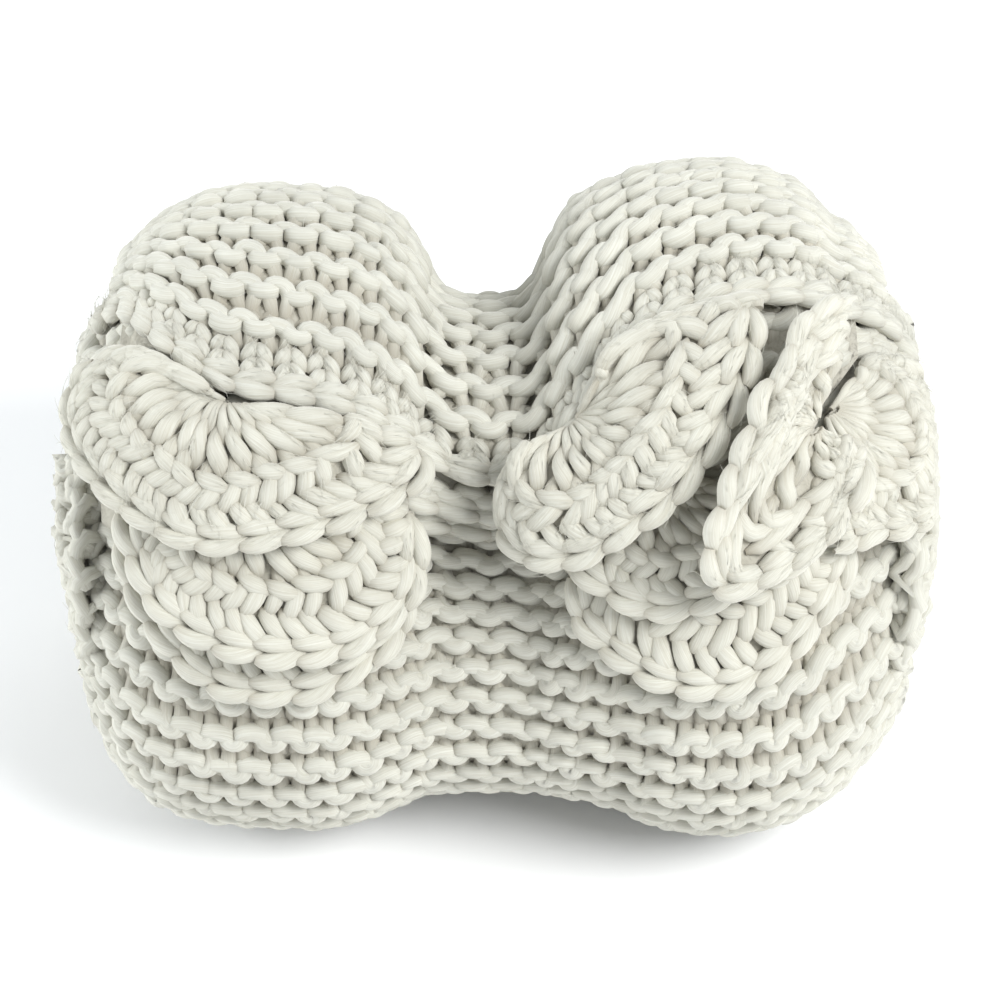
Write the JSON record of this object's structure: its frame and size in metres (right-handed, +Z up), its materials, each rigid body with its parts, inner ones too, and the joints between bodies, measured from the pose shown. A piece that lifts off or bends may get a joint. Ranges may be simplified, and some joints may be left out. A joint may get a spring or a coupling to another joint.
{
  "type": "rolled knit throw",
  "caption": "Chunky garter-stitch throw blanket, folded lengthwise and rolled up, drawn in near its middle, with crocheted scallops along its outer end.",
  "frame": {"origin": "centre of the bounding box's footprint, on the surface that the roll lies on", "axes": "+X along the roll, +Z up; the outer end and its scallops lie on the upper front, towards -Y and +Z"},
  "size_m": [0.4074, 0.304, 0.3104],
  "materials": {
    "knit_yarn": "matte, soft-twisted yarn, slightly fuzzy",
    "crochet_yarn": "matte, soft-twisted yarn, slightly fuzzy"
  },
  "bodies": {
    "root": {"throw_roll": "knit_yarn", "scallop_left_outer": "crochet_yarn", "scallop_left_middle": "crochet_yarn", "scallop_left_inner": "crochet_yarn", "scallop_right_outer": "crochet_yarn", "scallop_right_cupped": "crochet_yarn", "scallop_right_middle": "crochet_yarn", "scallop_right_side": "crochet_yarn", "scallop_right_inner": "crochet_yarn"}
  },
  "joints": []
}
